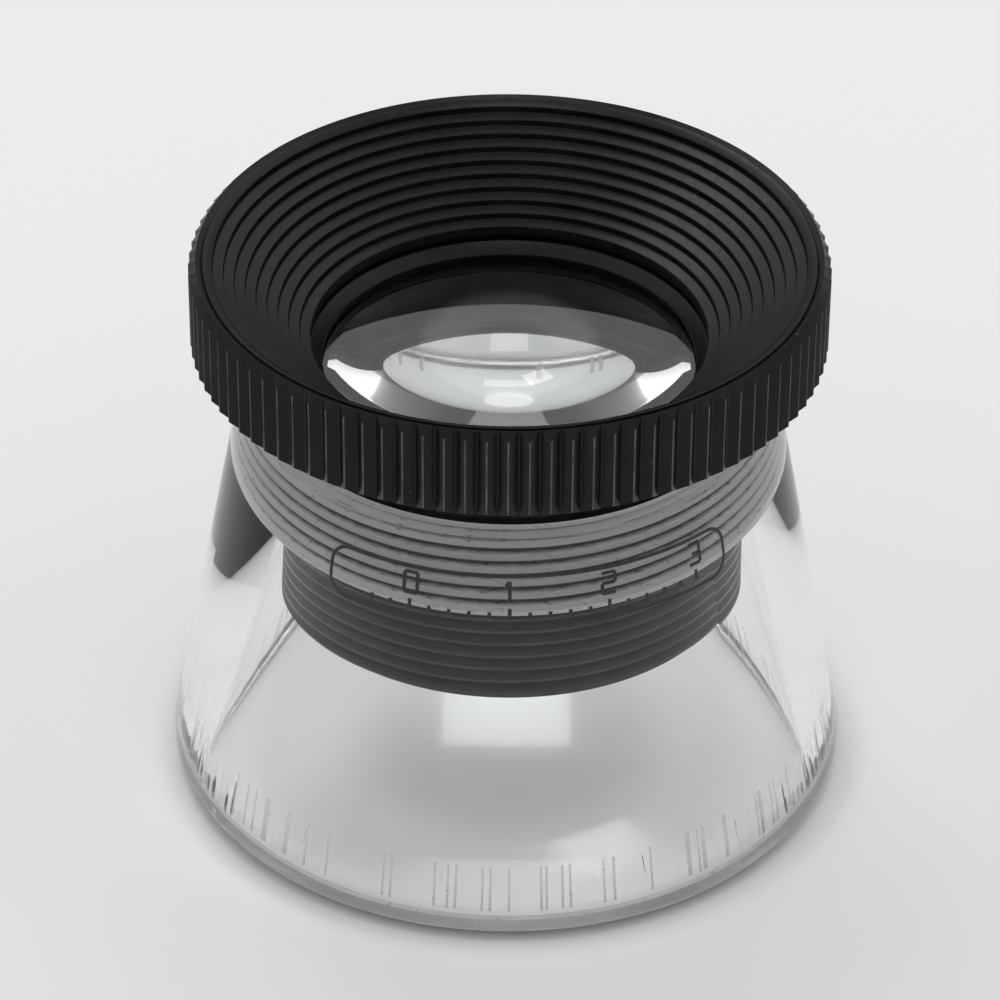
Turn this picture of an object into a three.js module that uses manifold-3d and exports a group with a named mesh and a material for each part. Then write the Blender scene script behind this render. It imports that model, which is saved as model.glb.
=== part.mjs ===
// Stand loupe: a clear skirt that stands on the work, and a lens barrel that screws
// up and down in the skirt's threaded collar to focus. Millimetres, +Z up. The origin
// is on the optical axis, in the plane that the foot rests on. The barrel is drawn
// a few turns out from its lowest place.

import * as THREE from 'three';
import { mergeVertices } from 'three/addons/utils/BufferGeometryUtils.js';
import Module from 'manifold-3d';

const wasm = await Module();
wasm.setup();

// ---- Driving dimensions ----

const ROUND_SEGMENTS = 40; // facets around every turned surface
const CLEARANCE = 0.3; // between pieces that sit against each other

// Clear stand
const FOOT_OUTER_R = 19.6; // the ring that touches the table
const FOOT_INNER_R = 18.2;
const LIP_R = 21.0; // widest place, just above the rounded foot
const LIP_Z = 1.5;
const COLLAR_TOP_Z = 26.5;
const COLLAR_TOP_R = 16.25;
const COLLAR_THREAD_Z = 20.2; // lowest turn of the female thread
const FOOT_ROUND_STEPS = 4;

// Focusing thread, single start and right handed
const PITCH = 0.9;
const MALE_CREST_R = 14.6;
const MALE_CREST_WIDTH = 0.2;
const FEMALE_CREST_R = 14.25;
const FEMALE_CREST_WIDTH = 0.1;
const FLANK_SLOPE = Math.tan(Math.PI / 6); // sixty-degree thread
const MALE_ROOT_R = MALE_CREST_R - (PITCH - MALE_CREST_WIDTH) / 2 / FLANK_SLOPE;
const FEMALE_ROOT_R = FEMALE_CREST_R + (PITCH - FEMALE_CREST_WIDTH) / 2 / FLANK_SLOPE;

// Lens barrel
const BARREL_BOTTOM_Z = 13.4;
const BARREL_THREAD_TOP_Z = 27.6;
const BARREL_BORE_R = 12.0;
const NECK_R = 13.9;
const SHOULDER_Z = 28.4; // the eyecup's hub sits on this
const SPIGOT_R = 12.6;
const SPIGOT_TOP_Z = 29.1;
const LIP_SEAT_Z = 28.3; // the eye lens is held under this lip
const APERTURE_R = 11.3;
const LIP_EDGE = 0.2; // thickness of the lip at the aperture

// Eyecup ring
const TOOTH_COUNT = 98;
const TOOTH_CREST_R = 19.2;
const TOOTH_ROOT_R = 18.75;
const RING_BOTTOM_Z = 29.8;
const RIM_Z = 35.7;
const TOP_BEVEL = 0.5;
const BOTTOM_BEVEL = 0.35;
const BAND_INNER_R = 17.8; // inside of the toothed band before it joins the funnel
const FUNNEL_OUTER_R = 18.3;
const FUNNEL_TOP_R = 17.75;
const FUNNEL_TOP_Z = 35.35;
const STEP_COUNT = 9;
const STEP_RUN = 0.64; // how far in each step reaches
const STEP_RISE = 0.4;
const STEP_TILT = 0.18; // how far each tread falls inwards
const HUB_R = 13.9;
const HUB_BOTTOM_Z = SHOULDER_Z + CLEARANCE;
const HUB_BORE_R = SPIGOT_R + CLEARANCE;
const FUNNEL_LIP_Z = SPIGOT_TOP_Z + CLEARANCE; // the funnel reaches in over the spigot
const RECESS_R = 17.2; // relief under the funnel
const RECESS_TOP_Z = 32.6;
const RECESS_HUB_Z = 30.2;

// Lenses and what holds them
const LENS_RINGS = 6; // facets from the axis to the edge of a curved face
const EYE_LENS_R = BARREL_BORE_R - CLEARANCE;
const EYE_LENS_TOP_Z = LIP_SEAT_Z - CLEARANCE;
const EYE_LENS_EDGE = 1.0;
const EYE_LENS_CURVE = 16.1;
const EYE_LENS_CLEAR_R = 11.0; // the curved face ends here in a flat seat
const FIELD_LENS_R = EYE_LENS_R;
const FIELD_CLEAR_R = 10.4;
const FIELD_SEAT_Z = 19.46;
const FIELD_CURVE = 24.7;
const FIELD_CROWN_EDGE = 1.1;
const CEMENT_CURVE = 35.9;
const CEMENT_LAYER = 0.1;
const FLINT_BOTTOM_Z = 14.67;
const SPACER_R = EYE_LENS_R;
const SPACER_TOP_Z = EYE_LENS_TOP_Z - EYE_LENS_EDGE - CLEARANCE;
const SPACER_BOTTOM_Z = FIELD_SEAT_Z + CLEARANCE;
const SPACER_WEB = 0.6; // height of the narrow part that bears on the field lens
const RING_NUT_BOTTOM_Z = 13.5;
const RING_NUT_TOP_Z = FLINT_BOTTOM_Z - CLEARANCE;
const RING_NUT_BORE_R = 10.7;
const RING_NUT_BEVEL = 0.3;
const SLOT_WIDTH = 1.2;
const SLOT_DEPTH = 0.45;

// ---- Shape helpers ----

/** Closes a geometry: keeps only positions and joins vertices that coincide. */
function weld(geometry) {
  geometry.deleteAttribute('normal');
  geometry.deleteAttribute('uv');
  return mergeVertices(geometry, 1e-3);
}

/** A body turned about Z from a closed outline of [radius, height] points, outside first. */
function turned(outline, segments = ROUND_SEGMENTS) {
  const closed = outline[0][0] === 0 ? outline : [...outline, outline[0]];
  const points = closed.map(([radius, height]) => new THREE.Vector2(radius, height));
  const geometry = new THREE.LatheGeometry(points, segments);
  geometry.rotateX(Math.PI / 2);
  return weld(geometry);
}

/**
 * A body whose outline changes as it goes round. sectionAt(angle) gives the closed
 * outline at that angle, always with the same number of points.
 */
function swept(sectionAt, columns) {
  const sections = [];
  for (let column = 0; column <= columns; column += 1) {
    const angle = (2 * Math.PI * column) / columns;
    const ring = sectionAt(angle, column).map(([radius, height]) => [
      radius * Math.cos(angle),
      radius * Math.sin(angle),
      height,
    ]);
    sections.push(ring);
  }
  const positions = [];
  for (let column = 0; column < columns; column += 1) {
    const here = sections[column];
    const next = sections[column + 1];
    for (let row = 0; row < here.length; row += 1) {
      const above = (row + 1) % here.length;
      addTriangle(positions, here[row], next[row], next[above]);
      addTriangle(positions, here[row], next[above], here[above]);
    }
  }
  const geometry = new THREE.BufferGeometry();
  geometry.setAttribute('position', new THREE.Float32BufferAttribute(positions, 3));
  return mergeVertices(geometry, 1e-3);
}

/** Adds a triangle unless two of its corners coincide. */
function addTriangle(positions, a, b, c) {
  const near = (p, q) => Math.hypot(p[0] - q[0], p[1] - q[1], p[2] - q[2]) < 2e-3;
  if (near(a, b) || near(b, c) || near(c, a)) {
    return;
  }
  positions.push(...a, ...b, ...c);
}

/** Turns a welded geometry into a manifold solid for joining and cutting. */
function toSolid(geometry) {
  const mesh = new wasm.Mesh({
    numProp: 3,
    vertProperties: new Float32Array(geometry.attributes.position.array),
    triVerts: new Uint32Array(geometry.index.array),
  });
  return new wasm.Manifold(mesh);
}

/** Turns a manifold solid back into a geometry. */
function toGeometry(solid) {
  const mesh = solid.getMesh();
  const geometry = new THREE.BufferGeometry();
  geometry.setAttribute('position', new THREE.BufferAttribute(mesh.vertProperties, 3));
  geometry.setIndex(new THREE.BufferAttribute(mesh.triVerts, 1));
  return geometry;
}

/** Height of a spherical face above its vertex, at a distance from the axis. */
function sag(curve, radius) {
  return curve - Math.sqrt(curve * curve - radius * radius);
}

/** Points along a spherical face from the axis out, rising by the sag times direction. */
function dome(curve, edgeRadius, vertexZ, direction) {
  const points = [];
  for (let ring = 0; ring <= LENS_RINGS; ring += 1) {
    const radius = (edgeRadius * ring) / LENS_RINGS;
    points.push([radius, vertexZ + direction * sag(curve, radius)]);
  }
  return points;
}

// ---- Thread ----

// One pitch of each thread as [share of the pitch, radius], starting at the male crest.
const maleShare = MALE_CREST_WIDTH / 2 / PITCH;
const femaleShare = FEMALE_CREST_WIDTH / 2 / PITCH;
const MALE_FORM = [
  [-maleShare, MALE_CREST_R],
  [maleShare, MALE_CREST_R],
  [0.5, MALE_ROOT_R],
];
const FEMALE_FORM = [
  [0, FEMALE_ROOT_R],
  [0.5 - femaleShare, FEMALE_CREST_R],
  [0.5 + femaleShare, FEMALE_CREST_R],
];

/** Radius of a thread form at a share of the pitch. */
function formRadius(form, share) {
  const wrapped = share - Math.floor(share - form[0][0]);
  const next = [form[0][0] + 1, form[0][1]];
  const corners = [...form, next];
  for (let i = 0; i < form.length; i += 1) {
    const [from, fromRadius] = corners[i];
    const [to, toRadius] = corners[i + 1];
    if (wrapped <= to) {
      return fromRadius + ((toRadius - fromRadius) * (wrapped - from)) / (to - from);
    }
  }
  return next[1];
}

/**
 * The thread's outline at one angle, from bottomZ to topZ. The corners climb by one
 * pitch in a turn, and those past an end stay on it. trim(radius, z) shapes the ends.
 */
function threadOutline(form, angle, bottomZ, topZ, trim) {
  const climb = (PITCH * angle) / (2 * Math.PI);
  const firstTurn = Math.floor(bottomZ / PITCH) - 2;
  const lastTurn = Math.ceil(topZ / PITCH) + 1;
  const points = [];
  for (let turn = firstTurn; turn <= lastTurn; turn += 1) {
    for (const [share] of form) {
      const height = (turn + share) * PITCH + climb;
      const z = THREE.MathUtils.clamp(height, bottomZ, topZ);
      const radius = formRadius(form, (z - climb) / PITCH);
      points.push([trim(radius, z), z]);
    }
  }
  return points;
}

// ---- Pieces ----

/** Clear moulded skirt with a rounded foot and a threaded collar. */
function clearStand() {
  const outside = [[FOOT_INNER_R, 0]];
  for (let step = 0; step <= FOOT_ROUND_STEPS; step += 1) {
    const turn = (Math.PI / 2) * (step / FOOT_ROUND_STEPS);
    const radius = FOOT_OUTER_R + (LIP_R - FOOT_OUTER_R) * Math.sin(turn);
    outside.push([radius, LIP_Z * (1 - Math.cos(turn))]);
  }
  outside.push([COLLAR_TOP_R, COLLAR_TOP_Z]);
  const mouthR = FEMALE_ROOT_R;
  const trim = (radius, z) => {
    const fromEnd = Math.min(z - COLLAR_THREAD_Z, COLLAR_TOP_Z - z);
    return Math.max(radius, mouthR - fromEnd);
  };
  return swept((angle) => {
    const thread = threadOutline(FEMALE_FORM, angle, COLLAR_THREAD_Z, COLLAR_TOP_Z, trim);
    return [...outside, ...thread.reverse()];
  }, ROUND_SEGMENTS);
}

/** Black tube with the male thread, a neck and the lip that holds the eye lens. */
function lensBarrel() {
  const inside = [
    [NECK_R, BARREL_THREAD_TOP_Z],
    [NECK_R, SHOULDER_Z],
    [SPIGOT_R, SHOULDER_Z],
    [SPIGOT_R, SPIGOT_TOP_Z],
    [BARREL_BORE_R, SPIGOT_TOP_Z],
    [APERTURE_R, LIP_SEAT_Z + LIP_EDGE],
    [APERTURE_R, LIP_SEAT_Z],
    [BARREL_BORE_R, LIP_SEAT_Z],
    [BARREL_BORE_R, BARREL_BOTTOM_Z],
  ];
  const trim = (radius, z) => {
    const fromEnd = Math.min(z - BARREL_BOTTOM_Z, BARREL_THREAD_TOP_Z - z);
    return Math.min(radius, MALE_ROOT_R + fromEnd);
  };
  return swept((angle) => {
    const thread = threadOutline(
      MALE_FORM, angle, BARREL_BOTTOM_Z, BARREL_THREAD_TOP_Z, trim,
    );
    return [...thread, ...inside];
  }, ROUND_SEGMENTS);
}

/** Band of upright V teeth round the eyecup, bevelled at both ends. */
function toothedBand() {
  return swept((angle, column) => {
    const radius = column % 2 === 1 ? TOOTH_CREST_R : TOOTH_ROOT_R;
    return [
      [BAND_INNER_R, RING_BOTTOM_Z],
      [TOOTH_ROOT_R, RING_BOTTOM_Z],
      [radius, RING_BOTTOM_Z + BOTTOM_BEVEL],
      [radius, RIM_Z - TOP_BEVEL],
      [TOOTH_ROOT_R, RIM_Z],
      [BAND_INNER_R, RIM_Z],
    ];
  }, 2 * TOOTH_COUNT);
}

/** Stepped funnel that shades the eye lens, with its hub and the relief under it. */
function funnel() {
  const outline = [
    [HUB_BORE_R, FUNNEL_LIP_Z],
    [HUB_BORE_R, HUB_BOTTOM_Z],
    [HUB_R, HUB_BOTTOM_Z],
    [HUB_R, RECESS_HUB_Z],
    [RECESS_R, RECESS_TOP_Z],
    [RECESS_R, RING_BOTTOM_Z],
    [FUNNEL_OUTER_R, RING_BOTTOM_Z],
    [FUNNEL_OUTER_R, RIM_Z],
  ];
  let radius = FUNNEL_TOP_R;
  let height = FUNNEL_TOP_Z;
  for (let step = 0; step < STEP_COUNT; step += 1) {
    outline.push([radius, height]);
    outline.push([radius, height - STEP_RISE]);
    height -= STEP_RISE + STEP_TILT;
    radius -= STEP_RUN;
  }
  outline.push([radius, height]);
  outline.push([radius, FUNNEL_LIP_Z]);
  return turned(outline);
}

/** Grip ring and funnel, turned from one bar. */
function eyecupRing() {
  return toGeometry(toSolid(toothedBand()).add(toSolid(funnel())));
}

/** Eye lens: flat towards the eye, domed below, with a flat seat round the dome. */
function eyeLens() {
  const seatZ = EYE_LENS_TOP_Z - EYE_LENS_EDGE;
  const vertexZ = seatZ - sag(EYE_LENS_CURVE, EYE_LENS_CLEAR_R);
  return turned([
    ...dome(EYE_LENS_CURVE, EYE_LENS_CLEAR_R, vertexZ, 1),
    [EYE_LENS_R, seatZ],
    [EYE_LENS_R, EYE_LENS_TOP_Z],
    [0, EYE_LENS_TOP_Z],
  ]);
}

/** Upper glass of the cemented field lens, domed on both sides. */
function fieldLensCrown() {
  const topVertexZ = FIELD_SEAT_Z + sag(FIELD_CURVE, FIELD_CLEAR_R);
  const edgeZ = FIELD_SEAT_Z - FIELD_CROWN_EDGE;
  const bottomVertexZ = edgeZ - sag(CEMENT_CURVE, FIELD_LENS_R);
  return turned([
    ...dome(CEMENT_CURVE, FIELD_LENS_R, bottomVertexZ, 1),
    [FIELD_LENS_R, FIELD_SEAT_Z],
    ...dome(FIELD_CURVE, FIELD_CLEAR_R, topVertexZ, -1).reverse(),
  ]);
}

/** Lower glass of the field lens, hollow above to fit the crown and flat below. */
function fieldLensFlint() {
  const edgeZ = FIELD_SEAT_Z - FIELD_CROWN_EDGE - CEMENT_LAYER;
  const vertexZ = edgeZ - sag(CEMENT_CURVE, FIELD_LENS_R);
  return turned([
    [0, FLINT_BOTTOM_Z],
    [FIELD_LENS_R, FLINT_BOTTOM_Z],
    ...dome(CEMENT_CURVE, FIELD_LENS_R, vertexZ, 1).reverse(),
  ]);
}

/** Tube between the two lenses that keeps them the right distance apart. */
function lensSpacer() {
  const webTopZ = SPACER_BOTTOM_Z + SPACER_WEB;
  return turned([
    [FIELD_CLEAR_R, SPACER_BOTTOM_Z],
    [SPACER_R, SPACER_BOTTOM_Z],
    [SPACER_R, SPACER_TOP_Z],
    [EYE_LENS_CLEAR_R, SPACER_TOP_Z],
    [EYE_LENS_CLEAR_R, webTopZ + EYE_LENS_CLEAR_R - FIELD_CLEAR_R],
    [FIELD_CLEAR_R, webTopZ],
  ]);
}

/** Slotted ring screwed into the bottom of the barrel to hold the lenses in. */
function retainingRing() {
  const body = turned([
    [RING_NUT_BORE_R + RING_NUT_BEVEL, RING_NUT_BOTTOM_Z],
    [SPACER_R, RING_NUT_BOTTOM_Z],
    [SPACER_R, RING_NUT_TOP_Z],
    [RING_NUT_BORE_R, RING_NUT_TOP_Z],
    [RING_NUT_BORE_R, RING_NUT_BOTTOM_Z + RING_NUT_BEVEL],
  ]);
  const slot = new THREE.BoxGeometry(4 * SPACER_R, SLOT_WIDTH, 2 * SLOT_DEPTH);
  slot.translate(0, 0, RING_NUT_BOTTOM_Z);
  return toGeometry(toSolid(body).subtract(toSolid(weld(slot))));
}

// ---- Materials ----

const clearAcrylic = new THREE.MeshStandardMaterial({
  color: 0xe6eaec, roughness: 0.06, metalness: 0, transparent: true, opacity: 0.35,
});
const blackPlastic = new THREE.MeshStandardMaterial({
  color: 0x1c1d1f, roughness: 0.45, metalness: 0,
});
const blackAnodised = new THREE.MeshStandardMaterial({
  color: 0x17181a, roughness: 0.5, metalness: 0.4,
});
const lensGlass = new THREE.MeshStandardMaterial({
  color: 0xf4f8fa, roughness: 0.02, metalness: 0, transparent: true, opacity: 0.3,
});

// ---- Assembly ----

const loupe = new THREE.Group();

/** Adds a named piece to the loupe. */
function addPiece(name, geometry, material) {
  const mesh = new THREE.Mesh(geometry, material);
  mesh.name = name;
  loupe.add(mesh);
}

addPiece('clear_stand', clearStand(), clearAcrylic);
addPiece('lens_barrel', lensBarrel(), blackPlastic);
addPiece('eyecup_ring', eyecupRing(), blackPlastic);
addPiece('eye_lens', eyeLens(), lensGlass);
addPiece('lens_spacer', lensSpacer(), blackAnodised);
addPiece('field_lens_crown', fieldLensCrown(), lensGlass);
addPiece('field_lens_flint', fieldLensFlint(), lensGlass);
addPiece('retaining_ring', retainingRing(), blackAnodised);

export default loupe;
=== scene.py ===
"""Looks of a stand loupe: a clear skirt, and a black lens barrel that screws in its collar.

Lengths are in millimetres until a mesh is made. Z is the optical axis, and -Y is the front.
"""

import math
import random

import bmesh
import bpy
from mathutils import Matrix, Vector


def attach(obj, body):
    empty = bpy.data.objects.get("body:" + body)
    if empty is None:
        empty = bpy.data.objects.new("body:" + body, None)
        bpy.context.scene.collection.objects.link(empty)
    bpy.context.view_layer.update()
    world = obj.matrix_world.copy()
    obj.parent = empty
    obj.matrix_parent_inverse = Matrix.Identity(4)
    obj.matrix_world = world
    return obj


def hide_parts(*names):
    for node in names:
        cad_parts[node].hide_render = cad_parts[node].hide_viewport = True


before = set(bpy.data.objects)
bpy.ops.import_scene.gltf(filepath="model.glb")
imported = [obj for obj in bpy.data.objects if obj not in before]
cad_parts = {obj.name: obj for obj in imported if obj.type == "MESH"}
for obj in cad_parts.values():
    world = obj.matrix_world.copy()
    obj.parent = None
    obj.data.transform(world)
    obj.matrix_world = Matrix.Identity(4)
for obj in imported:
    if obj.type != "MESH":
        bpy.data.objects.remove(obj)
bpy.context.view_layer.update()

# ---- Dimensions ----

MM = 0.001
COLUMNS = 288  # facets round every turned surface
FINE_COLUMNS = 720  # facets round the skirt, fine enough for the marks in its foot
TURN = 2 * math.pi
FRONT = -TURN / 4  # the angle that faces -Y

# Clear stand
FOOT_OUTER_R = 19.6
FOOT_INNER_R = 18.2
LIP_R = 21.0
LIP_Z = 1.5
COLLAR_TOP_Z = 26.5
COLLAR_TOP_R = 16.25
COLLAR_THREAD_Z = 20.2
COLLAR_EDGE = 0.25
FOOT_STEPS = 10
WORN_FOOT_Z = 0.2  # the foot is matt below this
DRAW_MARK_Z = 3.4  # the mould left fine upright marks inside the foot, up to here
DRAW_MARK_DEPTH = 0.07
DRAW_MARK_SHARE = 0.12  # share of the foot's inside that the marks have turned matt

# Focusing thread
PITCH = 0.9
MALE_CREST_R = 14.6
MALE_CREST_WIDTH = 0.2
FEMALE_CREST_R = 14.25
FEMALE_CREST_WIDTH = 0.1
FLANK_SLOPE = math.tan(TURN / 12)
MALE_ROOT_R = MALE_CREST_R - (PITCH - MALE_CREST_WIDTH) / 2 / FLANK_SLOPE
FEMALE_ROOT_R = FEMALE_CREST_R + (PITCH - FEMALE_CREST_WIDTH) / 2 / FLANK_SLOPE

# Lens barrel
BARREL_BOTTOM_Z = 13.4
BARREL_THREAD_TOP_Z = 27.6
BARREL_BORE_R = 12.0
NECK_R = 13.9
SHOULDER_Z = 28.4
SPIGOT_R = 12.6
SPIGOT_TOP_Z = 29.1
LIP_SEAT_Z = 28.3
APERTURE_R = 11.3

# Eyecup ring
TOOTH_COUNT = 98
TOOTH_CREST_R = 19.2
TOOTH_ROOT_R = 18.75
TOOTH_FORM = [(0, 0), (0.04, 0), (0.46, 0.95), (0.5, 1), (0.54, 0.95), (0.96, 0)]
RING_BOTTOM_Z = 29.8
RIM_Z = 35.7
TOP_BEVEL = 0.5
BOTTOM_BEVEL = 0.35
TOOTH_EASE = 0.03  # the edges and crests of the teeth are eased by this much
FUNNEL_TOP_R = 17.75
FUNNEL_TOP_Z = 35.35
STEP_COUNT = 9
STEP_RUN = 0.64
STEP_RISE = 0.4
STEP_TILT = 0.18
HUB_R = 13.9
HUB_BOTTOM_Z = 28.7
FUNNEL_LIP_Z = 29.4
HUB_BORE_R = 12.9
RECESS_R = 17.2
RECESS_TOP_Z = 32.6
RECESS_HUB_Z = 30.2

# Lenses and what holds them
LENS_RINGS = 24
EYE_LENS_R = 11.7
EYE_LENS_TOP_Z = 28.0
EYE_LENS_EDGE = 1.0
EYE_LENS_CURVE = 16.1
EYE_LENS_CLEAR_R = 11.0
FIELD_LENS_R = 11.7
FIELD_CLEAR_R = 10.4
FIELD_SEAT_Z = 19.46
FIELD_CURVE = 24.7
FIELD_CROWN_EDGE = 1.1
CEMENT_CURVE = 35.9
CEMENT_LAYER = 0.1
FLINT_BOTTOM_Z = 14.67
SPACER_R = 11.7
SPACER_TOP_Z = 26.7
SPACER_BOTTOM_Z = 19.76
SPACER_WEB_Z = 20.36
NUT_BOTTOM_Z = 13.5
NUT_TOP_Z = 14.37
NUT_BORE_R = 10.7
NUT_BEVEL = 0.3
SLOT_WIDTH = 1.2
SLOT_DEPTH = 0.45

# Refractive indices. The skirt's is set below the 1.49 of real acrylic.
SKIRT_INDEX = 1.3
CROWN_GLASS = 1.517
FLINT_GLASS = 1.617


# ---- Mesh helpers ----


def rounded(outline, steps=3):
    """Outline points (radius, height, corner radius), with each corner drawn as a small arc."""
    points = []
    for i, (radius, height, corner) in enumerate(outline):
        here = Vector((radius, height))
        if corner == 0:
            points.append((radius, height))
            continue
        before = (Vector(outline[i - 1][:2]) - here).normalized()
        after = (Vector(outline[(i + 1) % len(outline)][:2]) - here).normalized()
        reach = corner / math.tan(before.angle(after) / 2)
        for step in range(steps + 1):
            t = step / steps
            bend = here + before * reach * (1 - t) ** 2 + after * reach * t**2
            points.append((bend.x, bend.y))
    return points


EVEN = [column / COLUMNS for column in range(COLUMNS)]
FINE = [column / FINE_COLUMNS for column in range(FINE_COLUMNS)]


def swept(name, section_at, shares=EVEN, sharp=30):
    """A closed body whose outline of (radius, height) points may change as it goes round Z.

    It has a column of points at each of the shares of a turn.
    """
    mesh = bmesh.new()
    sections = []
    for column, share in enumerate([*shares, 1]):
        angle = TURN * share
        ring = []
        for radius, height in section_at(angle, column % len(shares)):
            place = (radius * math.cos(angle), radius * math.sin(angle), height)
            ring.append(mesh.verts.new(Vector(place) * MM))
        sections.append(ring)
    for here, after in zip(sections, sections[1:]):
        for row in range(len(here)):
            above = (row + 1) % len(here)
            mesh.faces.new((here[row], after[row], after[above], here[above]))
    return finished(name, mesh, sharp)


def finished(name, mesh, sharp):
    """Turns a bmesh into an object: points joined, faces outwards, smooth between sharp edges."""
    bmesh.ops.remove_doubles(mesh, verts=mesh.verts, dist=1e-6)
    bmesh.ops.recalc_face_normals(mesh, faces=mesh.faces)
    data = bpy.data.meshes.new(name)
    mesh.to_mesh(data)
    mesh.free()
    data.shade_smooth()
    data.set_sharp_from_angle(angle=math.radians(sharp))
    piece = bpy.data.objects.new(name, data)
    bpy.context.scene.collection.objects.link(piece)
    return piece


def turned(name, outline, sharp=30):
    """A body turned about Z from one outline."""
    return swept(name, lambda angle, column: outline, sharp=sharp)


def sag(curve, radius):
    """Height of a spherical face above its vertex."""
    return curve - math.sqrt(curve * curve - radius * radius)


def dome(curve, edge_radius, vertex_z, direction):
    """Points along a spherical face, from the axis out."""
    points = []
    for ring in range(LENS_RINGS + 1):
        radius = edge_radius * ring / LENS_RINGS
        points.append((radius, vertex_z + direction * sag(curve, radius)))
    return points


def fitted(piece, body, slot, material, *nodes):
    """Gives a piece its body and its material, and hides the CAD nodes that it stands for."""
    piece.data.materials.clear()
    piece.data.materials.append(material)
    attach(piece, body)
    if nodes:
        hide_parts(*nodes)
    return piece


def cemented(piece, glass, direction):
    """Gives the curved face that is cemented to the other lens the step in index across it."""
    piece.data.materials.append(glass)
    for face in piece.data.polygons:
        if face.normal.z * direction > 0.2:
            face.material_index = 1


# ---- Thread ----

MALE_SHARE = MALE_CREST_WIDTH / 2 / PITCH
FEMALE_SHARE = FEMALE_CREST_WIDTH / 2 / PITCH
MALE_FORM = [(-MALE_SHARE, MALE_CREST_R), (MALE_SHARE, MALE_CREST_R), (0.5, MALE_ROOT_R)]
FEMALE_FORM = [
    (0, FEMALE_ROOT_R),
    (0.5 - FEMALE_SHARE, FEMALE_CREST_R),
    (0.5 + FEMALE_SHARE, FEMALE_CREST_R),
]


def form_radius(form, share):
    """Radius of a thread form at a share of the pitch."""
    wrapped = share - math.floor(share - form[0][0])
    corners = [*form, (form[0][0] + 1, form[0][1])]
    for (start, start_r), (end, end_r) in zip(corners, corners[1:]):
        if wrapped <= end:
            return start_r + (end_r - start_r) * (wrapped - start) / (end - start)
    return form[0][1]


def thread_outline(form, angle, bottom_z, top_z, trim):
    """The thread's outline at one angle. It climbs one pitch in a turn, and stops at its ends."""
    climb = PITCH * angle / TURN
    points = []
    for turn in range(math.floor(bottom_z / PITCH) - 2, math.ceil(top_z / PITCH) + 2):
        for share, _ in form:
            z = min(max((turn + share) * PITCH + climb, bottom_z), top_z)
            points.append((trim(form_radius(form, (z - climb) / PITCH), z), z))
    return points


# ---- Pieces ----


def clear_skirt():
    """Clear skirt: rounded foot, straight taper and a threaded collar."""
    outside = [(FOOT_INNER_R, 0)]
    for step in range(FOOT_STEPS + 1):
        bend = TURN / 4 * step / FOOT_STEPS
        radius = FOOT_OUTER_R + (LIP_R - FOOT_OUTER_R) * math.sin(bend)
        outside.append((radius, LIP_Z * (1 - math.cos(bend))))
    rim = rounded(
        [
            (LIP_R, LIP_Z, 0),
            (COLLAR_TOP_R, COLLAR_TOP_Z, COLLAR_EDGE),
            (FEMALE_ROOT_R, COLLAR_TOP_Z, 0),
        ]
    )
    outside += rim[1:-1]

    def trim(radius, z):
        from_end = min(z - COLLAR_THREAD_Z, COLLAR_TOP_Z - z)
        return max(radius, FEMALE_ROOT_R - from_end)

    chance = random.Random(7)
    depths = [DRAW_MARK_DEPTH * chance.random() ** 3 for _ in FINE]
    tops = [DRAW_MARK_Z * chance.uniform(0.6, 1.0) for _ in FINE]
    taper = (FOOT_INNER_R - FEMALE_ROOT_R) / COLLAR_THREAD_Z

    def section(angle, column):
        thread = thread_outline(FEMALE_FORM, angle, COLLAR_THREAD_Z, COLLAR_TOP_Z, trim)
        top = tops[column]
        depth = depths[column]
        heights = [(DRAW_MARK_Z + 0.3, 0), (DRAW_MARK_Z + 0.15, 0), (top, 0), (top - 0.4, depth)]
        heights += [(0.6, depth), (0.3, 0)]
        marks = [(FOOT_INNER_R - taper * z + cut, z) for z, cut in heights]
        return [*outside, *reversed(thread), *marks]

    return swept("clear_skirt", section, FINE, sharp=25)


def matt_faces(skirt):
    """Numbers of the skirt's matt faces: the thread, the worn underside and marks in the foot."""
    chance = random.Random(11)
    marked = [chance.random() < DRAW_MARK_SHARE for _ in FINE]
    faces = []
    for face in skirt.data.polygons:
        radius = math.hypot(face.center.x, face.center.y) / MM
        z = face.center.z / MM
        angle = math.atan2(face.center.y, face.center.x)
        column = math.floor(angle / TURN * FINE_COLUMNS) % FINE_COLUMNS
        in_thread = radius < FEMALE_ROOT_R + 0.05 and z > COLLAR_THREAD_Z
        in_foot = FOOT_INNER_R - 1 < radius < FOOT_INNER_R + DRAW_MARK_DEPTH and 0.5 < z < DRAW_MARK_Z
        on_table = z < WORN_FOOT_Z
        if in_thread or on_table or (in_foot and marked[column]):
            faces.append(face.index)
    return faces


def blacken_edge(lens, paint, clear_r):
    """Paints a lens black round its edge and on its seats, outside the clear faces."""
    lens.data.materials.append(paint)
    number = len(lens.data.materials) - 1
    for face in lens.data.polygons:
        outside = math.hypot(face.center.x, face.center.y) / MM > clear_r
        upright = abs(face.normal.z) < 0.2
        faces_down = face.normal.z < -0.9
        if outside and (upright or faces_down):
            face.material_index = number


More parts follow.
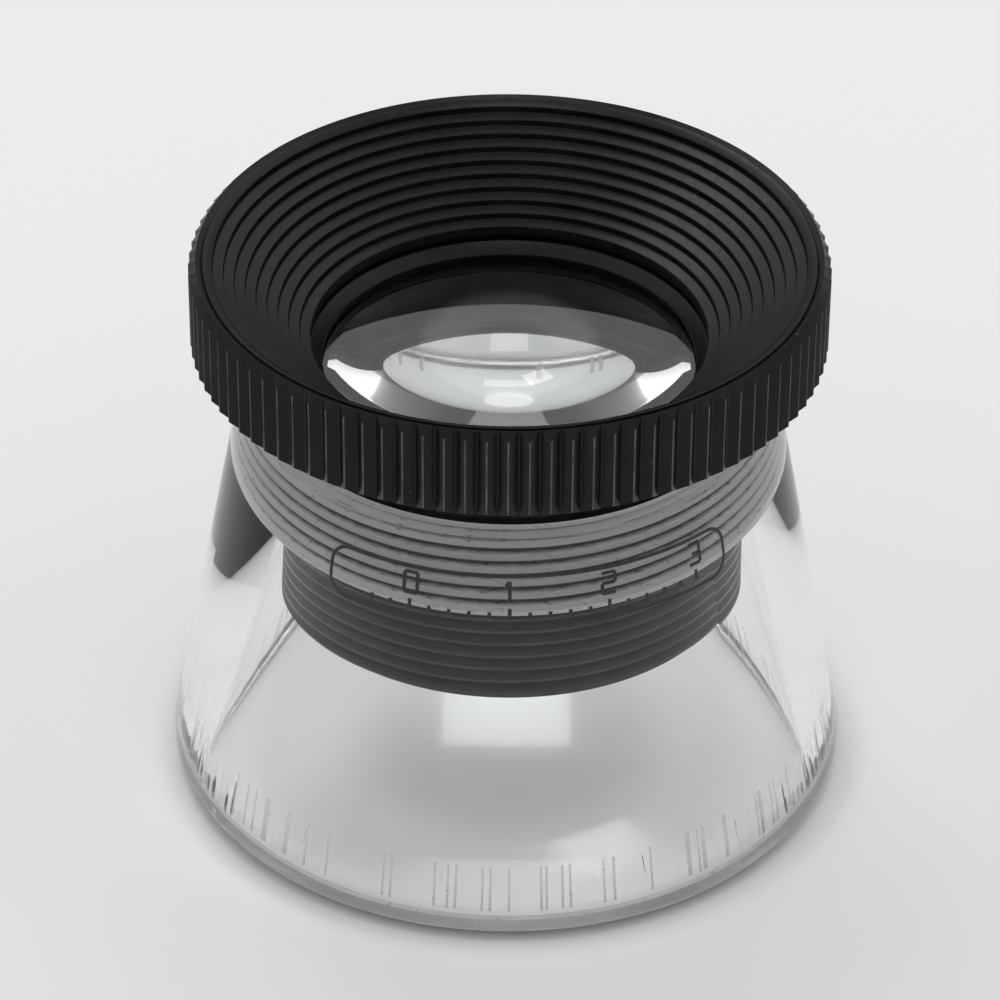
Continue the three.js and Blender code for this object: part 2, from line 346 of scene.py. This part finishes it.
def threaded_barrel():
    """Black tube with the focusing thread and the lip over the eye lens."""
    inside = rounded(
        [
            (NECK_R, BARREL_THREAD_TOP_Z, 0),
            (NECK_R, SHOULDER_Z, 0.1),
            (SPIGOT_R, SHOULDER_Z, 0),
            (SPIGOT_R, SPIGOT_TOP_Z, 0.05),
            (BARREL_BORE_R, SPIGOT_TOP_Z, 0.05),
            (APERTURE_R, LIP_SEAT_Z + 0.2, 0.05),
            (APERTURE_R, LIP_SEAT_Z, 0),
            (BARREL_BORE_R, LIP_SEAT_Z, 0),
            (BARREL_BORE_R, BARREL_BOTTOM_Z, 0.1),
            (MALE_ROOT_R, BARREL_BOTTOM_Z, 0),
        ]
    )[:-1]

    def trim(radius, z):
        from_end = min(z - BARREL_BOTTOM_Z, BARREL_THREAD_TOP_Z - z)
        return min(radius, MALE_ROOT_R + from_end)

    def section(angle, _):
        thread = thread_outline(
            MALE_FORM, angle, BARREL_BOTTOM_Z, BARREL_THREAD_TOP_Z, trim
        )
        return [*thread, *inside]

    return swept("threaded_barrel", section)


def paint_lip_shade(barrel, plastic):
    """Gives the neck and the lip over the eye lens the same black as the eyecup, darker than the rest
    of the barrel: painted shade where they lie under the ring.
    """
    barrel.data.materials.append(plastic)
    for face in barrel.data.polygons:
        if face.center.z > BARREL_THREAD_TOP_Z * MM:
            face.material_index = 1


def toothed_eyecup():
    """Grip ring with upright V teeth, and the stepped funnel inside it."""
    inside = [(RECESS_R, RING_BOTTOM_Z, 0.05), (RECESS_R, RECESS_TOP_Z, 0.1)]
    inside += [(HUB_R, RECESS_HUB_Z, 0.1), (HUB_R, HUB_BOTTOM_Z, 0.1)]
    inside += [(HUB_BORE_R, HUB_BOTTOM_Z, 0.05), (HUB_BORE_R, FUNNEL_LIP_Z, 0.03)]
    steps = []
    radius = FUNNEL_TOP_R
    height = FUNNEL_TOP_Z
    for _ in range(STEP_COUNT):
        steps.append((radius, height, 0.08))
        steps.append((radius, height - STEP_RISE, 0.06))
        height -= STEP_RISE + STEP_TILT
        radius -= STEP_RUN
    inside += [(radius, FUNNEL_LIP_Z, 0.05), (radius, height, 0.08)] + steps[::-1]
    bore = rounded([*inside, (TOOTH_ROOT_R - 0.35, RIM_Z, 0.12)])

    def section(angle, column):
        rise = TOOTH_FORM[column % len(TOOTH_FORM)][1]
        crest = TOOTH_ROOT_R + (TOOTH_CREST_R - TOOTH_ROOT_R) * rise
        return [
            *bore,
            (TOOTH_ROOT_R, RIM_Z - TOOTH_EASE),
            (crest, RIM_Z - TOP_BEVEL * rise - TOOTH_EASE),
            (crest, RING_BOTTOM_Z + BOTTOM_BEVEL * rise + TOOTH_EASE),
            (TOOTH_ROOT_R, RING_BOTTOM_Z + TOOTH_EASE),
            (TOOTH_ROOT_R - 0.1, RING_BOTTOM_Z),
        ]

    shares = [(tooth + share) / TOOTH_COUNT for tooth in range(TOOTH_COUNT) for share, _ in TOOTH_FORM]
    return swept("toothed_eyecup", section, shares, sharp=22)


def wear_and_highlight_crests(eyecup, worn):
    """Gives the narrow crests of the teeth the worn material, whose lighter grey is partly a painted
    highlight.
    """
    eyecup.data.materials.append(worn)
    for face in eyecup.data.polygons:
        if math.hypot(face.center.x, face.center.y) > (TOOTH_CREST_R - TOOTH_EASE) * MM:
            face.material_index = 1


def eye_lens_glass():
    """Big plano-convex lens, flat towards the eye."""
    seat_z = EYE_LENS_TOP_Z - EYE_LENS_EDGE
    vertex_z = seat_z - sag(EYE_LENS_CURVE, EYE_LENS_CLEAR_R)
    outline = dome(EYE_LENS_CURVE, EYE_LENS_CLEAR_R, vertex_z, 1)
    outline += [(EYE_LENS_R, seat_z), (EYE_LENS_R, EYE_LENS_TOP_Z), (0, EYE_LENS_TOP_Z)]
    return turned("eye_lens_glass", outline)


def crown_glass():
    """Upper glass of the cemented field lens."""
    top_z = FIELD_SEAT_Z + sag(FIELD_CURVE, FIELD_CLEAR_R)
    bottom_z = FIELD_SEAT_Z - FIELD_CROWN_EDGE - sag(CEMENT_CURVE, FIELD_LENS_R)
    outline = dome(CEMENT_CURVE, FIELD_LENS_R, bottom_z, 1)
    outline += [(FIELD_LENS_R, FIELD_SEAT_Z)]
    outline += dome(FIELD_CURVE, FIELD_CLEAR_R, top_z, -1)[::-1]
    return turned("crown_glass", outline)


def flint_glass():
    """Lower glass of the field lens, hollow above to fit the crown."""
    edge_z = FIELD_SEAT_Z - FIELD_CROWN_EDGE - CEMENT_LAYER
    vertex_z = edge_z - sag(CEMENT_CURVE, FIELD_LENS_R)
    outline = [(0, FLINT_BOTTOM_Z), (FIELD_LENS_R, FLINT_BOTTOM_Z)]
    outline += dome(CEMENT_CURVE, FIELD_LENS_R, vertex_z, 1)[::-1]
    return turned("flint_glass", outline)


def spacer_tube():
    """Tube that spaces the lenses."""
    outline = rounded(
        [
            (FIELD_CLEAR_R, SPACER_BOTTOM_Z, 0.03),
            (SPACER_R, SPACER_BOTTOM_Z, 0.1),
            (SPACER_R, SPACER_TOP_Z, 0.1),
            (EYE_LENS_CLEAR_R, SPACER_TOP_Z, 0.05),
            (EYE_LENS_CLEAR_R, SPACER_WEB_Z + EYE_LENS_CLEAR_R - FIELD_CLEAR_R, 0.2),
            (FIELD_CLEAR_R, SPACER_WEB_Z, 0.1),
        ]
    )
    return turned("spacer_tube", outline)


def slotted_ring():
    """Ring in the bottom of the barrel, with two slots for a key."""
    outline = rounded(
        [
            (NUT_BORE_R + NUT_BEVEL, NUT_BOTTOM_Z, 0.05),
            (SPACER_R, NUT_BOTTOM_Z, 0.1),
            (SPACER_R, NUT_TOP_Z, 0.05),
            (NUT_BORE_R, NUT_TOP_Z, 0.05),
            (NUT_BORE_R, NUT_BOTTOM_Z + NUT_BEVEL, 0.05),
        ]
    )
    ring = turned("slotted_ring", outline)
    cutter = bmesh.new()
    bmesh.ops.create_cube(cutter, size=1)
    size = Matrix.Diagonal((4 * SPACER_R * MM, SLOT_WIDTH * MM, 2 * SLOT_DEPTH * MM, 1))
    place = Matrix.Translation((0, 0, NUT_BOTTOM_Z * MM))
    cutter.transform(place @ size)
    tool = finished("slot_tool", cutter, 30)
    cut = ring.modifiers.new("slots", "BOOLEAN")
    cut.object = tool
    cut.operation = "DIFFERENCE"
    depsgraph = bpy.context.evaluated_depsgraph_get()
    data = bpy.data.meshes.new_from_object(ring.evaluated_get(depsgraph))
    ring.modifiers.clear()
    ring.data = data
    bpy.data.objects.remove(tool)
    return ring


# ---- Focus scale ----

SCALE_LEFT = -37.5  # degrees round from the front
SCALE_RIGHT = 48.5
SCALE_BOTTOM_Z = 20.9
SCALE_TOP_Z = 24.05
SCALE_CORNER = 1.2
LINE_WIDTH = 0.22
INK = 0.012  # thickness of the ink
TICK_GAP = 4.0  # degrees between ticks
TICKS = range(-7, 11)
TICKS_PER_DIGIT = 5
TICK_SHIFT = 0.5  # degrees that the ticks are turned from the front
TICK_START = 0.45  # from the bottom line to the ticks
TICK_LENGTH = 0.4
LONG_TICK = 0.65
DIGIT_START = 1.05  # from the foot of the ticks to the foot of the digits
DIGIT_HEIGHT = 1.3
DIGIT_WIDTH = 0.8
DIGITS = [
    [(0, 0), (0, 1), (1, 1), (1, 0), (0, 0)],
    [(0.5, 0), (0.5, 1), (0.2, 0.8)],
    [(0, 1), (1, 1), (1, 0.5), (0, 0.5), (0, 0), (1, 0)],
    [(0, 1), (1, 1), (1, 0), (0, 0), (1, 0), (1, 0.5), (0.3, 0.5)],
]


def cone_radius(z):
    """Radius of the outside of the skirt's taper."""
    return LIP_R + (COLLAR_TOP_R - LIP_R) * (z - LIP_Z) / (COLLAR_TOP_Z - LIP_Z)


def on_cone(across, z, lift):
    """A point on the taper; across is the way round from the front, lift is out from the face."""
    angle = FRONT + across / cone_radius(SCALE_TOP_Z)
    radius = cone_radius(z) + lift
    return Vector((radius * math.cos(angle), radius * math.sin(angle), z)) * MM


def printed(mesh, path):
    """A line of ink along a path of (across, z) points on the taper."""
    points = [Vector(point) for point in path]
    rows = []
    for i, point in enumerate(points):
        before = points[max(i - 1, 0)]
        after = points[min(i + 1, len(points) - 1)]
        if path[0] == path[-1] and i in (0, len(points) - 1):
            before, after = points[-2], points[1]
        along = (after - before).normalized()
        side = Vector((-along.y, along.x)) * LINE_WIDTH / 2
        row = []
        for edge, lift in ((side, 0.002), (side, INK), (-side, INK), (-side, 0.002)):
            place = point + edge
            row.append(mesh.verts.new(on_cone(place.x, place.y, lift)))
        rows.append(row)
    for here, after in zip(rows, rows[1:]):
        for corner in range(4):
            next_corner = (corner + 1) % 4
            mesh.faces.new((here[corner], after[corner], after[next_corner], here[next_corner]))
    if path[0] != path[-1]:
        mesh.faces.new(rows[0])
        mesh.faces.new(rows[-1][::-1])


def straight(start, end, step=0.25):
    """Points along a straight line, close enough to follow the taper."""
    start, end = Vector(start), Vector(end)
    count = max(math.ceil((end - start).length / step), 1)
    return [tuple(start.lerp(end, i / count)) for i in range(count + 1)]


def focus_scale():
    """Printed outline with rounded corners, holding ticks and digits."""
    reach = math.radians(1) * cone_radius(SCALE_TOP_Z)
    left, right = SCALE_LEFT * reach, SCALE_RIGHT * reach
    mesh = bmesh.new()
    frame_line = []
    corners = [
        (right - SCALE_CORNER, SCALE_BOTTOM_Z + SCALE_CORNER, 3),
        (right - SCALE_CORNER, SCALE_TOP_Z - SCALE_CORNER, 0),
        (left + SCALE_CORNER, SCALE_TOP_Z - SCALE_CORNER, 1),
        (left + SCALE_CORNER, SCALE_BOTTOM_Z + SCALE_CORNER, 2),
    ]
    for across, z, quarter in corners:
        for step in range(9):
            bend = TURN / 4 * (quarter + step / 8)
            place = (across + SCALE_CORNER * math.cos(bend), z + SCALE_CORNER * math.sin(bend))
            frame_line += straight(frame_line[-1], place)[1:] if frame_line else [place]
    frame_line += straight(frame_line[-1], frame_line[0])[1:-1]
    printed(mesh, [*frame_line, frame_line[0]])
    low = SCALE_BOTTOM_Z + TICK_START
    for tick in TICKS:
        across = (tick * TICK_GAP + TICK_SHIFT) * reach
        length = LONG_TICK if tick % TICKS_PER_DIGIT == 0 else TICK_LENGTH
        printed(mesh, straight((across, low), (across, low + length)))
    for number, strokes in enumerate(DIGITS):
        tick = (number - 1) * TICKS_PER_DIGIT
        left_edge = (tick * TICK_GAP + TICK_SHIFT) * reach - DIGIT_WIDTH / 2
        foot = low + DIGIT_START
        path = [(left_edge + x * DIGIT_WIDTH, foot + z * DIGIT_HEIGHT) for x, z in strokes]
        for start, end in zip(path, path[1:]):
            printed(mesh, straight(start, end))
    return finished("focus_scale", mesh, 30)


# ---- Materials ----


class Shader:
    """A material's node tree, with short calls to add and join nodes."""

    def __init__(self, name):
        self.material = bpy.data.materials.new(name)
        self.material.use_nodes = True
        self.nodes = self.material.node_tree.nodes
        self.links = self.material.node_tree.links
        self.surface = self.nodes["Principled BSDF"]

    def add(self, kind, **settings):
        node = self.nodes.new("ShaderNode" + kind)
        for key, value in settings.items():
            setattr(node, key, value)
        return node

    def join(self, source, target):
        self.links.new(source, target)

    def noise(self, scale, detail=2.0, stretch=(1, 1, 1)):
        """Noise on object coordinates; scale is in waves per metre."""
        coordinates = self.add("TexCoord")
        mapping = self.add("Mapping")
        mapping.inputs["Scale"].default_value = stretch
        self.join(coordinates.outputs["Object"], mapping.inputs["Vector"])
        noise = self.add("TexNoise")
        noise.inputs["Scale"].default_value = scale
        noise.inputs["Detail"].default_value = detail
        self.join(mapping.outputs["Vector"], noise.inputs["Vector"])
        return noise.outputs["Fac"]

    def spread(self, source, low, high, from_low=0.3, from_high=0.7):
        """Maps a texture's usual range on to low..high."""
        node = self.add("MapRange")
        node.inputs["From Min"].default_value = from_low
        node.inputs["From Max"].default_value = from_high
        node.inputs["To Min"].default_value = low
        node.inputs["To Max"].default_value = high
        self.join(source, node.inputs["Value"])
        return node.outputs["Result"]

    def tint(self, source, dark, light):
        """Colour ramp from dark to light."""
        ramp = self.add("ValToRGB")
        ramp.color_ramp.elements[0].position = 0.3
        ramp.color_ramp.elements[1].position = 0.7
        ramp.color_ramp.elements[0].color = (*dark, 1)
        ramp.color_ramp.elements[1].color = (*light, 1)
        self.join(source, ramp.inputs["Fac"])
        return ramp.outputs["Color"]

    def blend(self, mask, under, over):
        """Colour that goes from under to over as the mask rises."""
        node = self.add("Mix", data_type="RGBA")
        self.join(mask, node.inputs["Factor"])
        self.join(under, node.inputs["A"])
        node.inputs["B"].default_value = (*over, 1)
        return node.outputs["Result"]

    def radius(self):
        """Distance from the optical axis, in metres."""
        coordinates = self.add("TexCoord")
        flat = self.add("VectorMath", operation="MULTIPLY")
        flat.inputs[1].default_value = (1, 1, 0)
        self.join(coordinates.outputs["Object"], flat.inputs[0])
        length = self.add("VectorMath", operation="LENGTH")
        self.join(flat.outputs["Vector"], length.inputs[0])
        return length.outputs["Value"]

    def bump(self, source, depth_mm, strength=1.0):
        """Bump of a real depth."""
        node = self.add("Bump")
        node.inputs["Distance"].default_value = depth_mm * MM
        node.inputs["Strength"].default_value = strength
        self.join(source, node.inputs["Height"])
        self.join(node.outputs["Normal"], self.surface.inputs["Normal"])
        return node


def worn_plastic_and_painted_highlight():
    """Black plastic polished grey by handling along the crests of the teeth; the lighter crests are
    partly real wear and partly a painted highlight.
    """
    shader = Shader("worn_plastic_and_painted_highlight")
    surface = shader.surface
    wear_and_highlight = shader.noise(700, 3.0)
    # lighter grey on the crests: partly wear, partly a painted highlight
    colour = shader.tint(wear_and_highlight, (0.01, 0.01, 0.011), (0.1, 0.1, 0.104))
    shader.join(colour, surface.inputs["Base Color"])
    shader.join(shader.spread(wear_and_highlight, 0.3, 0.45), surface.inputs["Roughness"])
    shader.bump(wear_and_highlight, 0.004)
    return shader.material


def clear_acrylic():
    """Clear moulded acrylic, with faint waves and fine scuffs."""
    shader = Shader("clear_acrylic")
    surface = shader.surface
    surface.inputs["IOR"].default_value = SKIRT_INDEX
    surface.inputs["Transmission Weight"].default_value = 1.0
    tone = shader.noise(90, 1.0)
    colour = shader.tint(tone, (0.965, 0.97, 0.975), (0.985, 0.988, 0.99))
    shader.join(colour, surface.inputs["Base Color"])
    scuffs = shader.noise(900, 4.0, (1, 1, 0.12))
    shader.join(shader.spread(scuffs, 0.0, 0.03, 0.45, 0.8), surface.inputs["Roughness"])
    shader.bump(shader.noise(160, 1.0, (1, 1, 0.3)), 0.004)
    return shader.material


def frosted_acrylic_and_painted_stripes():
    """Clear acrylic where the mould's cut thread leaves it matt and slightly milky. Its colour is
    painted dark at the thread's crests and light at its roots: painted stripes of light and shade
    across each turn.
    """
    shader = Shader("frosted_acrylic_and_painted_stripes")
    surface = shader.surface
    surface.inputs["IOR"].default_value = SKIRT_INDEX
    surface.inputs["Transmission Weight"].default_value = 0.3
    grain = shader.noise(1500, 3.0, (1, 1, 4))
    # painted stripes: darker towards the thread's crest, lighter towards its root, standing in for
    # light and shade on the flanks
    painted_stripes = shader.spread(shader.radius(), 0, 1, FEMALE_CREST_R * MM, FEMALE_ROOT_R * MM)
    grain_and_painted_stripes = shader.add("Math", operation="MULTIPLY_ADD")
    shader.join(grain, grain_and_painted_stripes.inputs[0])
    grain_and_painted_stripes.inputs[1].default_value = 0.35
    shader.join(painted_stripes, grain_and_painted_stripes.inputs[2])
    colour = shader.tint(grain_and_painted_stripes.outputs["Value"], (0.1, 0.103, 0.107), (0.9, 0.905, 0.91))
    shader.join(colour, surface.inputs["Base Color"])
    shader.join(shader.spread(grain, 0.26, 0.42), surface.inputs["Roughness"])
    shader.bump(grain, 0.004)
    return shader.material


def lens_glass(name, index):
    """Polished optical glass with a trace of dust."""
    shader = Shader(name)
    surface = shader.surface
    surface.inputs["IOR"].default_value = index
    surface.inputs["Transmission Weight"].default_value = 1.0
    tone = shader.noise(120, 1.0)
    colour = shader.tint(tone, (0.975, 0.985, 0.985), (0.99, 0.995, 0.995))
    shader.join(colour, surface.inputs["Base Color"])
    dust = shader.noise(2600, 2.0)
    shader.join(shader.spread(dust, 0.0, 0.006, 0.6, 0.8), surface.inputs["Roughness"])
    return shader.material


def black_plastic(name, dark, light):
    """Black plastic turned to a satin finish, with specks of dust."""
    shader = Shader(name)
    surface = shader.surface
    surface.inputs["IOR"].default_value = 1.45
    surface.inputs["Specular IOR Level"].default_value = 0.22
    tone = shader.noise(350, 3.0)
    colour = shader.tint(tone, dark, light)
    dust = shader.spread(shader.noise(4200, 1.0), 0.0, 0.5, 0.79, 0.84)
    shader.join(shader.blend(dust, colour, (0.3, 0.3, 0.3)), surface.inputs["Base Color"])
    grain = shader.noise(2400, 3.0)
    shader.join(shader.spread(grain, 0.27, 0.37), surface.inputs["Roughness"])
    shader.bump(grain, 0.004)
    return shader.material


def black_anodised():
    """Matt black anodised aluminium."""
    shader = Shader("black_anodised")
    surface = shader.surface
    surface.inputs["Specular IOR Level"].default_value = 0.2
    tone = shader.noise(500, 2.0)
    colour = shader.tint(tone, (0.010, 0.010, 0.011), (0.017, 0.017, 0.018))
    shader.join(colour, surface.inputs["Base Color"])
    grain = shader.noise(600, 2.0, (1, 1, 3))
    shader.join(shader.spread(grain, 0.6, 0.72), surface.inputs["Roughness"])
    shader.bump(grain, 0.001)
    return shader.material


def grey_ink():
    """Dark printed ink, a little uneven."""
    shader = Shader("grey_ink")
    surface = shader.surface
    tone = shader.noise(1800, 3.0)
    colour = shader.tint(tone, (0.018, 0.018, 0.02), (0.035, 0.035, 0.037))
    shader.join(colour, surface.inputs["Base Color"])
    shader.join(shader.spread(tone, 0.5, 0.7), surface.inputs["Roughness"])
    shader.bump(tone, 0.003)
    return shader.material


def pale_floor():
    """Smooth pale card."""
    shader = Shader("pale_floor")
    surface = shader.surface
    tone = shader.noise(3, 2.0)
    colour = shader.tint(tone, (0.78, 0.785, 0.79), (0.80, 0.803, 0.807))
    shader.join(colour, surface.inputs["Base Color"])
    surface.inputs["Roughness"].default_value = 0.7
    surface.inputs["Specular IOR Level"].default_value = 0.2
    return shader.material


# ---- Assembly ----

acrylic = clear_acrylic()
plastic = black_plastic("black_plastic", (0.0035, 0.0036, 0.004), (0.007, 0.0071, 0.0076))
dull_plastic = black_plastic("dull_plastic", (0.03, 0.0305, 0.032), (0.046, 0.0465, 0.048))
anodised = black_anodised()
crown = lens_glass("crown_lens_glass", CROWN_GLASS)
flint = lens_glass("flint_lens_glass", FLINT_GLASS)

skirt = fitted(clear_skirt(), "stand", "clear_acrylic", acrylic, "clear_stand")
skirt.data.materials.append(frosted_acrylic_and_painted_stripes())
for number in matt_faces(skirt):
    skirt.data.polygons[number].material_index = 1
fitted(focus_scale(), "stand", None, grey_ink())
barrel = fitted(threaded_barrel(), "barrel", "black_plastic", dull_plastic, "lens_barrel")
# painted shade: the barrel's neck and lip get the darker black
paint_lip_shade(barrel, plastic)
eyecup = fitted(toothed_eyecup(), "barrel", "black_plastic", plastic, "eyecup_ring")
# crests partly worn, partly a painted highlight
wear_and_highlight_crests(eyecup, worn_plastic_and_painted_highlight())
eye = fitted(eye_lens_glass(), "lenses", "lens_glass", crown, "eye_lens")
upper = fitted(crown_glass(), "lenses", "lens_glass", crown, "field_lens_crown")
lower = fitted(flint_glass(), "lenses", "lens_glass", flint, "field_lens_flint")
cemented(upper, lens_glass("cement_above", 1.0), -1)
cemented(lower, lens_glass("cement_below", FLINT_GLASS / CROWN_GLASS), 1)
for lens in (eye, upper, lower):
    blacken_edge(lens, anodised, EYE_LENS_CLEAR_R)
fitted(spacer_tube(), "barrel", "black_anodised", anodised, "lens_spacer")
fitted(slotted_ring(), "barrel", "black_anodised", anodised, "retaining_ring")

# ---- Floor, light and camera ----


def floor():
    """Large pale floor."""
    mesh = bmesh.new()
    bmesh.ops.create_grid(mesh, x_segments=8, y_segments=8, size=3.0)
    piece = finished("floor", mesh, 30)
    piece.location.z = -0.08 * MM
    piece.data.materials.append(pale_floor())


def softbox(name, direction, distance, width, height, power):
    """Rectangular lamp in a direction from the object, facing it."""
    lamp = bpy.data.lights.new(name, "AREA")
    lamp.shape = "RECTANGLE"
    lamp.size = width
    lamp.size_y = height
    lamp.energy = power
    holder = bpy.data.objects.new(name, lamp)
    bpy.context.scene.collection.objects.link(holder)
    towards = Vector(direction).normalized()
    holder.location = towards * distance + Vector((0, 0, 0.02))
    holder.rotation_euler = towards.to_track_quat("Z", "Y").to_euler()
    return holder


def sky(brightness):
    """Pale surroundings: bright half-way up, dim near the horizon, overhead and in front."""
    world = bpy.data.worlds.new("studio")
    world.use_nodes = True
    nodes = world.node_tree.nodes
    links = world.node_tree.links
    direction = nodes.new("ShaderNodeTexCoord")
    parts = nodes.new("ShaderNodeSeparateXYZ")
    links.new(direction.outputs["Generated"], parts.inputs["Vector"])
    height = nodes.new("ShaderNodeValToRGB")
    for place, level in ((0.01, 0.2), (0.35, 0.32), (0.58, 1.15), (0.84, 1.15), (0.92, 0.35)):
        stop = height.color_ramp.elements.new(place)
        stop.color = (level, level, level, 1)
    height.color_ramp.elements[0].color = (0.2, 0.2, 0.2, 1)
    height.color_ramp.elements[-1].color = (0.35, 0.35, 0.35, 1)
    links.new(parts.outputs["Z"], height.inputs["Fac"])
    front = nodes.new("ShaderNodeMapRange")
    front.inputs["From Min"].default_value = -0.75
    front.inputs["From Max"].default_value = -0.1
    front.inputs["To Min"].default_value = 0.58 * brightness
    front.inputs["To Max"].default_value = brightness
    links.new(parts.outputs["Y"], front.inputs["Value"])
    background = nodes["Background"]
    links.new(height.outputs["Color"], background.inputs["Color"])
    links.new(front.outputs["Result"], background.inputs["Strength"])
    bpy.context.scene.world = world


def camera():
    """Long lens, 35 degrees down on the front."""
    distance = 308.8 * MM
    elevation = math.radians(35.2)
    target = Vector((0, 0, 17.0 * MM))
    data = bpy.data.cameras.new("camera")
    data.lens = 180
    data.sensor_width = 36
    data.shift_x = -0.008
    data.shift_y = 0.010
    data.clip_start = 0.01
    holder = bpy.data.objects.new("camera", data)
    bpy.context.scene.collection.objects.link(holder)
    back = Vector((0, -math.cos(elevation), math.sin(elevation)))
    aim = back.to_track_quat("Z", "Y").to_matrix().to_4x4()
    roll = Matrix.Rotation(math.radians(0.45), 4, "Z")
    holder.matrix_world = Matrix.Translation(target + back * distance) @ aim @ roll
    bpy.context.scene.camera = holder


floor()
softbox("back_softbox", (0, 0.66, 0.75), 1.0, 0.5, 0.16, 0.8)
softbox("streak_softbox", (-0.28, 0.54, 0.77), 1.0, 0.26, 0.26, 0.9)
softbox("top_softbox", (0, -0.09, 1.0), 1.0, 0.42, 0.34, 1.6)
sky(1.1)
camera()

scene = bpy.context.scene
scene.view_settings.view_transform = "Standard"
scene.cycles.max_bounces = 24
scene.cycles.transmission_bounces = 24
scene.cycles.transparent_max_bounces = 24
scene.cycles.blur_glossy = 0
scene.cycles.use_denoising = True
